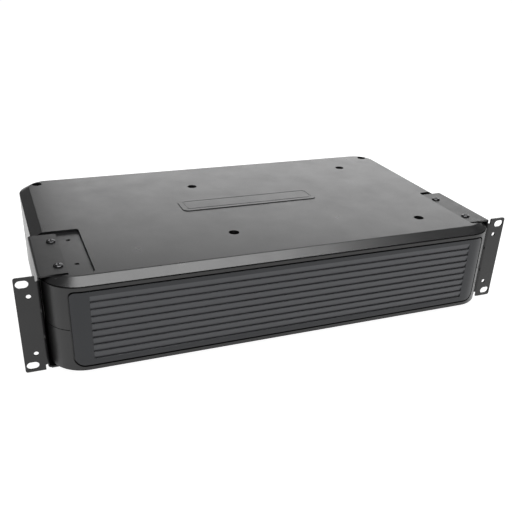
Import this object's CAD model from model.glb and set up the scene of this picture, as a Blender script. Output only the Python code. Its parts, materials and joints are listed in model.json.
import bpy
import bmesh
import json
import math
from mathutils import Matrix, Vector

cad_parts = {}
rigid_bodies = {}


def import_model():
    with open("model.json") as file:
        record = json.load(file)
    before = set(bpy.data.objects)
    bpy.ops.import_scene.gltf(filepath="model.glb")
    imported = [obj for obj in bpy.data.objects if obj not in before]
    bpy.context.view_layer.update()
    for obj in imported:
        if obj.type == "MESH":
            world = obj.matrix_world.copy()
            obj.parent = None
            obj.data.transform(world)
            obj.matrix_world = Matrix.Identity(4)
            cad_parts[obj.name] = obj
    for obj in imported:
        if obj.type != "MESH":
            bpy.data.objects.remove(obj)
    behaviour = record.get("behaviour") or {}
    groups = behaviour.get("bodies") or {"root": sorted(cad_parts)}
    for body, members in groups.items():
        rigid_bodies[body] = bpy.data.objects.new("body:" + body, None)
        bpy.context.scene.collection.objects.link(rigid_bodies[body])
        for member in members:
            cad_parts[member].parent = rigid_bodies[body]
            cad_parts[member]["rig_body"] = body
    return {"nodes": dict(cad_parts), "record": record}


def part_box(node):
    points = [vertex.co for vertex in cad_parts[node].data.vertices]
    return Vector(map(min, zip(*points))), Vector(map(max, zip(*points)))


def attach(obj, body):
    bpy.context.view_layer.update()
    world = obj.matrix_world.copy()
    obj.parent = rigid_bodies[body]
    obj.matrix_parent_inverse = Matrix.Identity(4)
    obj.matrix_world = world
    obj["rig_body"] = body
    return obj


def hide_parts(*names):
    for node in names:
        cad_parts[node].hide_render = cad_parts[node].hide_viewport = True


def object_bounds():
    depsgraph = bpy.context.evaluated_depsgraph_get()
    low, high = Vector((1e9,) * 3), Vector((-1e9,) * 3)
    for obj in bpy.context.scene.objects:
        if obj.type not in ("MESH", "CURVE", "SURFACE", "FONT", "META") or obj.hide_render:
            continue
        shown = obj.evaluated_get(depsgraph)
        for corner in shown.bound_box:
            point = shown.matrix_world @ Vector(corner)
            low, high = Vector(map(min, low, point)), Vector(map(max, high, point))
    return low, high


MM = 0.001

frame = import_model()
cad_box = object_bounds()
nodes = frame["nodes"]
slot_of = {s["node"]: s["material_slot"] for s in frame["record"]["subparts"]}

# The slatted field of the front panel, measured from the middle of the panel.
SLATS = 9
SLAT_PITCH = 6.6 * MM
SLAT_DEPTH = 1.25 * MM
FIELD_TOP = 30.8 * MM
FIELD_HALF_WIDTH = 184.0 * MM

# ---------------------------------------------------------------- materials

MOULD_GRAIN = 1500.0
MOULD_GRAIN_DEPTH = 0.04 * MM
COOL_BLACK = (1.0, 1.0, 1.04)
BRASS = (1.0, 0.86, 0.58)
YELLOW_ZINC = (1.0, 0.9, 0.55)
RED = (1.0, 0.07, 0.06)


class Nodes:
    """Small helper that builds one node material in object space."""

    def __init__(self, name):
        self.mat = bpy.data.materials.new(name)
        self.mat.use_nodes = True
        self.tree = self.mat.node_tree
        self.bsdf = self.tree.nodes["Principled BSDF"]
        self.coord = self.tree.nodes.new("ShaderNodeTexCoord").outputs["Object"]

    def node(self, kind, **values):
        made = self.tree.nodes.new(kind)
        for key, value in values.items():
            setattr(made, key, value)
        return made

    def link(self, a, b):
        self.tree.links.new(a, b)

    def stretch(self, scale):
        made = self.node("ShaderNodeMapping")
        made.inputs["Scale"].default_value = scale
        self.link(self.coord, made.inputs["Vector"])
        return made.outputs["Vector"]

    def noise(self, scale, detail=2.0, rough=0.5, vector=None):
        made = self.node("ShaderNodeTexNoise")
        made.inputs["Scale"].default_value = scale
        made.inputs["Detail"].default_value = detail
        made.inputs["Roughness"].default_value = rough
        self.link(vector or self.coord, made.inputs["Vector"])
        return made.outputs["Fac"]

    def bands(self, direction, scale, distortion=0.0):
        made = self.node("ShaderNodeTexWave", wave_type="BANDS", bands_direction=direction,
                         wave_profile="SIN")
        made.inputs["Scale"].default_value = scale
        made.inputs["Distortion"].default_value = distortion
        self.link(self.coord, made.inputs["Vector"])
        return made.outputs["Fac"]

    def ramp(self, fac, start, first, end, last):
        """A blend from the first colour at start to the last one at end."""
        made = self.node("ShaderNodeValToRGB")
        stops = ((start, first), (end, last))
        for element, (place, value) in zip(made.color_ramp.elements, stops):
            element.position = place
            element.color = (*value, 1.0)
        self.link(fac, made.inputs["Fac"])
        return made.outputs["Color"]

    def clouds(self, fac, dark, light):
        return self.ramp(fac, 0.3, dark, 0.7, light)

    def smoothstep(self, value, outside, inside):
        made = self.node("ShaderNodeMapRange", interpolation_type="SMOOTHSTEP")
        made.inputs["From Min"].default_value = outside
        made.inputs["From Max"].default_value = inside
        self.link(value, made.inputs["Value"])
        return made.outputs["Result"]

    def combine(self, operation, *sources):
        made = self.node("ShaderNodeMath", operation=operation)
        for source, socket in zip(sources, made.inputs):
            self.link(source, socket)
        return made.outputs[0]

    def mix(self, factor, first, last):
        made = self.node("ShaderNodeMix", data_type="RGBA")
        colour_a, colour_b, colour_out = made.inputs[6], made.inputs[7], made.outputs[2]
        self.link(factor, made.inputs["Factor"])
        self.link(first, colour_a)
        self.link(last, colour_b)
        return colour_out

    def bump(self, height, distance, strength, below=None):
        made = self.node("ShaderNodeBump")
        made.inputs["Distance"].default_value = distance
        made.inputs["Strength"].default_value = strength
        self.link(height, made.inputs["Height"])
        if below is not None:
            self.link(below, made.inputs["Normal"])
        return made.outputs["Normal"]

    def normal(self, socket):
        self.link(socket, self.bsdf.inputs["Normal"])

    def colour(self, socket):
        self.link(socket, self.bsdf.inputs["Base Color"])

    def roughness(self, socket):
        self.link(socket, self.bsdf.inputs["Roughness"])

    def set(self, **values):
        for key, value in values.items():
            self.bsdf.inputs[key.replace("_", " ")].default_value = value


def grey(value, blue=0.0):
    return (value, value, value * (1.0 + blue))


def tinted(value, tint):
    return tuple(value * t for t in tint)


def mould_finish(m, rough, grain, depth):
    """Fine spark-eroded grain and an uneven sheen, shared by all mouldings."""
    m.roughness(m.ramp(m.noise(40.0, 4.0, 0.6), 0.25, grey(rough - 0.03), 0.75, grey(rough + 0.04)))
    m.normal(m.bump(m.noise(grain, 3.0, 0.6), depth, 0.6))


def moulded(name, low, high, rough, grain=MOULD_GRAIN, depth=MOULD_GRAIN_DEPTH, tint=COOL_BLACK):
    """Moulded plastic with faint flow marks."""
    m = Nodes(name)
    m.colour(m.clouds(m.noise(9.0, 3.0, 0.5), tinted(low, tint), tinted(high, tint)))
    mould_finish(m, rough, grain, depth)
    return m.mat


def slatted_plastic(name, border, field, rough):
    """Moulded plastic whose slatted field has a lighter, finer finish than the plain border."""
    blue = 0.06
    fade = 0.4 * MM
    low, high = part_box("front_panel")
    top = (low.z + high.z) / 2.0 + FIELD_TOP - 0.6 * MM
    bottom = top - SLATS * SLAT_PITCH
    m = Nodes(name)
    parts = m.node("ShaderNodeSeparateXYZ")
    m.link(m.coord, parts.inputs["Vector"])
    height = parts.outputs["Z"]
    across = m.combine("ABSOLUTE", parts.outputs["X"])
    inside = m.smoothstep(across, FIELD_HALF_WIDTH, FIELD_HALF_WIDTH - fade)
    inside = m.combine("MULTIPLY", inside, m.smoothstep(height, bottom, bottom + fade))
    inside = m.combine("MULTIPLY", inside, m.smoothstep(height, top, top - fade))
    wide = m.noise(9.0, 3.0, 0.5)
    m.colour(m.mix(inside, m.clouds(wide, grey(border * 0.9, blue), grey(border * 1.1, blue)),
                   m.clouds(wide, grey(field * 0.94, blue), grey(field * 1.06, blue))))
    mould_finish(m, rough, MOULD_GRAIN, MOULD_GRAIN_DEPTH)
    m.set(Specular_Tint=(0.93, 0.955, 1.0, 1.0))
    return m.mat


def powder(name, low, high, rough, metal=0.0):
    """Powder coat: shallow orange peel under a fine speckle."""
    m = Nodes(name)
    peel = m.bump(m.noise(420.0, 2.0, 0.5), 0.05 * MM, 0.5)
    m.colour(m.clouds(m.noise(25.0, 3.0, 0.5), grey(low, 0.03), grey(high, 0.03)))
    m.roughness(m.ramp(m.noise(80.0, 3.0, 0.6), 0.2, grey(rough - 0.04), 0.8, grey(rough + 0.05)))
    m.normal(m.bump(m.noise(2600.0, 2.0, 0.6), 0.02 * MM, 0.5, peel))
    m.set(Metallic=metal)
    return m.mat


def plated(name, low, high, rough, tint=(1.0, 1.0, 1.0), along=(1.0, 14.0, 14.0)):
    """Zinc-plated or tinned metal with faint rolling lines and cloudy spangle."""
    m = Nodes(name)
    lines = m.noise(160.0, 2.0, 0.6, m.stretch(along))
    m.colour(m.clouds(m.noise(60.0, 4.0, 0.6), tinted(low, tint), tinted(high, tint)))
    m.roughness(m.ramp(lines, 0.2, grey(rough - 0.08), 0.8, grey(rough + 0.1)))
    m.normal(m.bump(lines, 0.01 * MM, 0.4))
    m.set(Metallic=1.0)
    return m.mat


def webbing(name):
    """Woven polyester strap: ribs across it and rows of yarn along it."""
    m = Nodes(name)
    ribs = m.bands("X", 260.0, 1.2)
    rows = m.bands("Z", 420.0)
    m.colour(m.ramp(ribs, 0.1, grey(0.012), 0.9, grey(0.045)))
    m.normal(m.bump(rows, 0.1 * MM, 0.6, m.bump(ribs, 0.25 * MM, 0.7)))
    m.set(Roughness=0.85)
    return m.mat


MATERIALS = {
    "case_plastic": moulded("case_plastic_grain", 0.0075, 0.0095, 0.30),
    "panel_plastic": slatted_plastic("panel_plastic_grain", 0.006, 0.040, 0.32),
    "ear_paint": powder("ear_powder_coat", 0.007, 0.009, 0.38),
    "screw_black": powder("black_zinc", 0.05, 0.08, 0.20, 1.0),
    "plated_sheet": plated("zinc_plate", 0.42, 0.58, 0.34),
    "battery_case": moulded("battery_abs", 0.030, 0.040, 0.42, 900.0),
    "contact_metal": plated("tinned_brass", 0.62, 0.8, 0.25, BRASS, (12.0, 1.0, 12.0)),
    "lead_insulation": moulded("lead_sheath", 0.28, 0.36, 0.42, 500.0, 0.03 * MM, RED),
    "strap_web": webbing("strap_weave"),
    "rivet_metal": plated("rivet_aluminium", 0.7, 0.82, 0.28),
    "connector_plastic": moulded("connector_nylon", 0.05, 0.065, 0.42, 1100.0),
    "rear_paint": powder("rear_powder_coat", 0.012, 0.017, 0.45),
    "breaker_plastic": moulded("breaker_moulding", 0.010, 0.014, 0.40, 1200.0),
    "rocker_plastic": moulded("rocker_polish", 0.008, 0.011, 0.16, 2200.0, 0.01 * MM),
    "ground_metal": plated("yellow_zinc", 0.45, 0.6, 0.32, YELLOW_ZINC),
}
for name, obj in nodes.items():
    obj.data.materials.clear()
    obj.data.materials.append(MATERIALS[slot_of[name]])

# ---------------------------------------------------------------- pieces that replace a CAD node


def new_piece(bm, node):
    """Turn a bmesh into the object that stands for a CAD node."""
    mesh = bpy.data.meshes.new(node + "_skin")
    bm.to_mesh(mesh)
    bm.free()
    obj = bpy.data.objects.new(node + "_skin", mesh)
    bpy.context.scene.collection.objects.link(obj)
    mesh.materials.append(MATERIALS[slot_of[node]])
    return obj


def dress(obj, node, sharp):
    """Smooth shading below the sharp angle, then the CAD node's body, place and slot."""
    for polygon in obj.data.polygons:
        polygon.use_smooth = True
    obj.data.set_sharp_from_angle(angle=math.radians(sharp))
    weight = obj.modifiers.new("normals", "WEIGHTED_NORMAL")
    weight.keep_sharp = True
    weight.weight = 60
    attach(obj, nodes[node]["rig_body"])
    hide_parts(node)


def join_rings(bm, one, two):
    """Faces between two closed rings with the same number of vertices."""
    for i in range(len(one)):
        j = (i + 1) % len(one)
        bm.faces.new((one[i], one[j], two[j], two[i]))


def softened(node, width, segments):
    """A copy of a CAD node with its moulded or folded edges rounded."""
    bm = bmesh.new()
    bm.from_mesh(nodes[node].data)
    bmesh.ops.remove_doubles(bm, verts=bm.verts, dist=0.002 * MM)
    bmesh.ops.dissolve_limit(bm, angle_limit=math.radians(0.6), verts=bm.verts, edges=bm.edges,
                             use_dissolve_boundaries=False)
    obj = new_piece(bm, node)
    edge = obj.modifiers.new("edge", "BEVEL")
    edge.width = width
    edge.segments = segments
    edge.limit_method = "ANGLE"
    edge.angle_limit = math.radians(24.0)
    edge.use_clamp_overlap = True
    edge.harden_normals = False
    edge.miter_outer = "MITER_ARC"
    depsgraph = bpy.context.evaluated_depsgraph_get()
    done = bpy.data.meshes.new_from_object(obj.evaluated_get(depsgraph))
    obj.modifiers.clear()
    obj.data = done
    done.name = node + "_skin"
    dress(obj, node, 32)


def slat_lines(first):
    """Heights and depths down the panel: tilted faces, sharp inner corners and rounded noses."""
    nose_r = 0.5 * MM
    turns = [math.radians(a) for a in (0, 15, 30, 45, 60, 75, 90)]
    nose = [(nose_r - nose_r * math.cos(a), nose_r - nose_r * math.sin(a)) for a in turns]
    face = [(0.95 * MM, 0.015), (1.3 * MM, 0.06), (2.2 * MM, 0.22), (4.2 * MM, 0.58), (6.0 * MM, 0.92),
            (SLAT_PITCH - 0.1 * MM, 1.0), (SLAT_PITCH - 0.03 * MM, 0.97)]
    lines = [(first, 0.0)]
    for index in range(SLATS):
        top = first - index * SLAT_PITCH
        lines += [(top - drop, SLAT_DEPTH * share) for drop, share in face]
        lines += [(top - SLAT_PITCH - drop, back) for drop, back in nose]
    return lines


def slatted_panel():
    """The front panel: a shallow tray with a rounded rim, nine moulded slats and four clip tabs."""
    low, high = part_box("front_panel")
    middle = (low.z + high.z) / 2.0
    front = low.y
    back = front + 4.9 * MM
    corner_r = 30.0 * MM
    corner_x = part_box("lower_shell")[1].x - corner_r
    rim = 0.32 * MM
    r_top, r_low = 4.5 * MM - rim, 8.0 * MM - rim
    side, top, bottom = high.x - rim, high.z - rim, low.z + rim
    half = FIELD_HALF_WIDTH

    def wrap(x, depth):
        """Depth behind the front, following the round corners of the case at both ends."""
        over = max(abs(x) - corner_x, 0.0)
        reach = corner_r - depth
        return front + corner_r - math.sqrt(reach * reach - over * over)

    def ends(x):
        """Top and bottom of the flat of the panel at one place along it, with outward directions."""
        over_top = max(abs(x) - (side - r_top), 0.0)
        over_low = max(abs(x) - (side - r_low), 0.0)
        rise = math.sqrt(max(r_top * r_top - over_top * over_top, 0.0))
        fall = math.sqrt(max(r_low * r_low - over_low * over_low, 0.0))
        way = math.copysign(1.0, x)
        return ((top - r_top + rise, (way * over_top / r_top, rise / r_top)),
                (bottom + r_low - fall, (way * over_low / r_low, -fall / r_low)))

    # Places along the panel, each with the share of the slats' full depth that it has.
    inner = half - 0.45 * MM
    places = {half: 0.0, half - 0.1 * MM: 0.06, half - 0.25 * MM: 0.92, inner: 1.0}
    places.update({inner * k / 16.0: 1.0 for k in range(16)})
    places.update({half + k * MM: 0.0 for k in (1.2, 3.4, 5.5)})
    for radius in (r_low, r_top):
        for step in range(11):
            x = side - radius + radius * math.sin(math.radians(9.0 * step))
            if all(abs(x - other) > 0.04 * MM for other in places):
                places[x] = 0.0
    right = sorted(places.items())
    columns = [(-x, share) for x, share in reversed(right[1:])] + right

    # The front, as a grid of columns.
    lines = slat_lines(middle + FIELD_TOP)
    bm = bmesh.new()
    grid = []
    for x, share in columns:
        (z_top, _), (z_low, _) = ends(x)
        shift = max((abs(x) - half) / (side - half), 0.0)
        column = [bm.verts.new((x, wrap(x, 0.0), z_top))]
        for z, depth in lines:
            spread = z_top + (z_low - z_top) * (top - z) / (top - bottom)
            column.append(bm.verts.new((x, wrap(x, 0.0) + depth * share, z + (spread - z) * shift)))
        column.append(bm.verts.new((x, wrap(x, 0.0), z_low)))
        grid.append(column)
    for one, two in zip(grid, grid[1:]):
        for a, b, c, d in zip(one, one[1:], two[1:], two):
            bm.faces.new((a, b, c, d))

    # The rounded rim and the wall behind it, as rings around the front.
    outline = [(column[-1], ends(column[-1].co.x)[1][1]) for column in grid]
    outline += [(vert, (1.0, 0.0)) for vert in reversed(grid[-1][1:-1])]
    outline += [(column[0], ends(column[0].co.x)[0][1]) for column in reversed(grid)]
    outline += [(vert, (-1.0, 0.0)) for vert in grid[0][1:-1]]
    rings = [[vert for vert, _ in outline]]
    for angle in (22.5, 45.0, 67.5, 90.0):
        out = rim * math.sin(math.radians(angle))
        depth = rim * (1.0 - math.cos(math.radians(angle)))
        rings.append([bm.verts.new((vert.co.x + out * nx, wrap(vert.co.x + out * nx, depth),
                                    vert.co.z + out * nz)) for vert, (nx, nz) in outline])
    rings.append([bm.verts.new((vert.co.x, back, vert.co.z)) for vert in rings[-1]])
    for outer, deeper in zip(rings, rings[1:]):
        join_rings(bm, deeper, outer)

    # The flat back, in strips between the lower and the upper edge.
    last = rings[-1]
    count = len(grid)
    tall = len(lines)
    below = last[:count]
    right_side = last[count:count + tall]
    above = last[count + tall:2 * count + tall][::-1]
    left_side = last[2 * count + tall:]
    for i in range(1, count - 2):
        bm.faces.new((below[i], below[i + 1], above[i + 1], above[i]))
    bm.faces.new([below[-2], below[-1]] + right_side + [above[-1], above[-2]])
    bm.faces.new([above[1], above[0]] + left_side + [below[0], below[1]])

    # The clip tabs, sunk a little into the back.
    tab_x, tab_z, tab_width, tab_height, sunk = 194.0 * MM, 20.0 * MM, 1.6 * MM, 14.0 * MM, 0.2 * MM
    for x in (-tab_x, tab_x):
        for z in (middle - tab_z, middle + tab_z):
            for v in bmesh.ops.create_cube(bm, size=1.0)["verts"]:
                v.co = Vector((x + v.co.x * tab_width,
                               back - sunk + (v.co.y + 0.5) * (high.y - back + sunk),
                               z + v.co.z * tab_height))
    bmesh.ops.recalc_face_normals(bm, faces=bm.faces)
    dress(new_piece(bm, "front_panel"), "front_panel", 50)


def domed_screws():
    """Four pan heads with a domed top and a cross recess, on the upper flanges of the ears."""
    low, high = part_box("ear_top_screws")
    head_r, head_h = 4.2 * MM, 1.5 * MM
    arm_half_width, arm_reach, arm_depth = 0.5 * MM, 2.1 * MM, 0.75 * MM
    turns = 48
    shank = [(0.44, -4.0), (0.44, 0.0)]
    dome = [(1.0, 0.0), (1.0, 0.25), (0.975, 0.48), (0.9, 0.68), (0.78, 0.82), (0.62, 0.92),
            (0.45, 0.975), (0.28, 0.995), (0.12, 1.0)]
    bm = bmesh.new()
    for x in (low.x + head_r, high.x - head_r):
        for y in (low.y + head_r, high.y - head_r):
            rings = []
            for k, (out, up) in enumerate(shank + dome):
                ring = []
                for step in range(turns):
                    angle = 2.0 * math.pi * step / turns
                    px, py = head_r * out * math.cos(angle), head_r * out * math.sin(angle)
                    z = high.z - head_h + head_h * up
                    arm = min(abs(px), abs(py)) / arm_half_width
                    tip = max(abs(px), abs(py)) / arm_reach
                    if k >= len(shank) and arm < 1.0 and tip < 1.0:
                        z -= arm_depth * (1.0 - arm ** 6) * (1.0 - tip ** 4)
                    ring.append(bm.verts.new((x + px, y + py, z)))
                rings.append(ring)
            for one, two in zip(rings, rings[1:]):
                join_rings(bm, one, two)
            bm.faces.new(rings[0][::-1])
            bm.faces.new(rings[-1])
    bmesh.ops.recalc_face_normals(bm, faces=bm.faces)
    dress(new_piece(bm, "ear_top_screws"), "ear_top_screws", 60)


def woven_strap():
    """The tray's pull strap: a flat band, riveted at both ends and bowed out for the fingers."""
    low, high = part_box("pull_strap")
    wall = high.y - 0.05 * MM
    thick = 1.35 * MM
    half_z = (high.z - low.z) / 2.0
    middle = (high.z + low.z) / 2.0
    bow_start, bow_run, bow_height = 34.0 * MM, 13.0 * MM, 2.3 * MM
    rivet_x, dent_width, dent_depth = 39.0, 4.0 * MM, 0.036 * MM
    profile = []
    for angle in range(0, 360, 15):
        c, s = math.cos(math.radians(angle)), math.sin(math.radians(angle))
        across = math.copysign(abs(s) ** 0.28, s) * half_z * 0.985
        edge = 1.0 + 0.10 * max(abs(s) ** 6 - 0.5, 0.0)
        profile.append((math.copysign(abs(c) ** 0.55, c) * thick / 2.0 * edge, across))
    bm = bmesh.new()
    sections = []
    steps = 72
    for k in range(steps + 1):
        x = low.x + (high.x - low.x) * k / steps
        lift = min(max((bow_start - abs(x)) / bow_run, 0.0), 1.0)
        bow = bow_height * lift * lift * (3.0 - 2.0 * lift)
        dent = dent_depth * math.exp(-((abs(x) - rivet_x * MM) / dent_width) ** 2)
        squeeze = 0.86 if k in (0, steps) else 1.0
        sections.append([bm.verts.new((x, wall - thick / 2.0 - bow + dent + off * squeeze,
                                       middle + z * squeeze)) for off, z in profile])
    for one, two in zip(sections, sections[1:]):
        join_rings(bm, one, two)
    bm.faces.new(sections[0])
    bm.faces.new(sections[-1][::-1])
    # Two rows of five stitches at each rivet.
    for x in (-rivet_x, rivet_x):
        for row in (-6.6, 6.6):
            for k in range(-2, 3):
                for v in bmesh.ops.create_icosphere(bm, subdivisions=2, radius=1.0)["verts"]:
                    v.co = Vector(((x + k * 2.3) * MM + v.co.x * 0.85 * MM,
                                   wall - thick + v.co.y * 0.22 * MM,
                                   middle + row * MM + v.co.z * 0.3 * MM))
    bmesh.ops.recalc_face_normals(bm, faces=bm.faces)
    dress(new_piece(bm, "pull_strap"), "pull_strap", 60)


softened("upper_shell", 0.2 * MM, 3)
softened("lower_shell", 0.2 * MM, 3)
slatted_panel()
woven_strap()
domed_screws()
softened("left_rack_ear", 0.25 * MM, 2)
softened("right_rack_ear", 0.25 * MM, 2)

# ---------------------------------------------------------------- studio

WHITE = (1.0, 1.0, 1.0, 1.0)
FLOOR_REACH = 9.0
FLOOR_GAP = 0.2 * MM
AMBIENT = 0.16

floor_mesh = bpy.data.meshes.new("floor")
corners = [(x * FLOOR_REACH, y * FLOOR_REACH, 0) for x, y in ((-1, -1), (1, -1), (1, 1), (-1, 1))]
floor_mesh.from_pydata(corners, [], [(0, 1, 2, 3)])
floor = bpy.data.objects.new("floor", floor_mesh)
bpy.context.scene.collection.objects.link(floor)
floor.location.z = cad_box[0][2] - FLOOR_GAP
paper = Nodes("paper")
paper.colour(paper.clouds(paper.noise(3.0), grey(0.22), grey(0.25)))
paper.set(Roughness=0.95, Emission_Color=WHITE, Emission_Strength=0.97)
floor_mesh.materials.append(paper.mat)


def softbox(name, place, aim, size, radiance):
    """A rectangular light of even radiance that the camera does not see."""
    data = bpy.data.lights.new(name, "AREA")
    data.shape = "RECTANGLE"
    data.size, data.size_y = size
    data.energy = radiance * math.pi * size[0] * size[1]
    lamp = bpy.data.objects.new(name, data)
    bpy.context.scene.collection.objects.link(lamp)
    lamp.location = place
    lamp.rotation_euler = (Vector(aim) - Vector(place)).to_track_quat("-Z", "Y").to_euler()
    lamp.visible_camera = False


# The overhead box shows in the bevel above the panel, the rear sweep in the top.
softbox("overhead", (0.155, -0.05, 1.55), (0.155, -0.05, 0.0), (1.25, 1.0), 6.7)
softbox("rear_sweep", (1.12, 2.0, 0.72), (0.0, 0.0, 0.1), (2.6, 0.9), 2.0)
softbox("front_sweep", (-0.4, -2.3, 0.85), (0.0, 0.0, 0.05), (2.4, 0.8), 1.3)

# A dim world for the light, and plain white behind the object.
world = bpy.data.worlds.new("studio")
world.use_nodes = True
bpy.context.scene.world = world
tree = world.node_tree
ambient = tree.nodes["Background"]
ambient.inputs["Color"].default_value = WHITE
ambient.inputs["Strength"].default_value = AMBIENT
backdrop = tree.nodes.new("ShaderNodeBackground")
backdrop.inputs["Color"].default_value = WHITE
path = tree.nodes.new("ShaderNodeLightPath")
pick = tree.nodes.new("ShaderNodeMixShader")
tree.links.new(path.outputs["Is Camera Ray"], pick.inputs["Fac"])
tree.links.new(ambient.outputs["Background"], pick.inputs[1])
tree.links.new(backdrop.outputs["Background"], pick.inputs[2])
tree.links.new(pick.outputs["Shader"], tree.nodes["World Output"].inputs["Surface"])

# ---------------------------------------------------------------- camera

# Solved from the ears' standard hole pattern: the camera's place and its three directions.
CAMERA_PLACE = Vector((-0.243124, -0.628139, 0.331540))
CAMERA_RIGHT = Vector((0.92853427, -0.36932101, 0.03776372))
CAMERA_DOWN = Vector((-0.14419504, -0.45251404, -0.88002206))
CAMERA_AHEAD = Vector((0.34209925, 0.8116853, -0.47342906))

camera_data = bpy.data.cameras.new("camera")
camera = bpy.data.objects.new("camera", camera_data)
bpy.context.scene.collection.objects.link(camera)
bpy.context.scene.camera = camera
camera_data.sensor_width = 36.0
camera_data.lens = 47.85
camera_data.shift_x = -0.00905
camera_data.shift_y = 0.09123
camera_data.clip_start = 0.01
camera_data.clip_end = 60.0
turn = Matrix((CAMERA_RIGHT, -CAMERA_DOWN, -CAMERA_AHEAD)).transposed().to_4x4()
camera.matrix_world = Matrix.Translation(CAMERA_PLACE) @ turn

bpy.context.scene.view_settings.view_transform = "Standard"
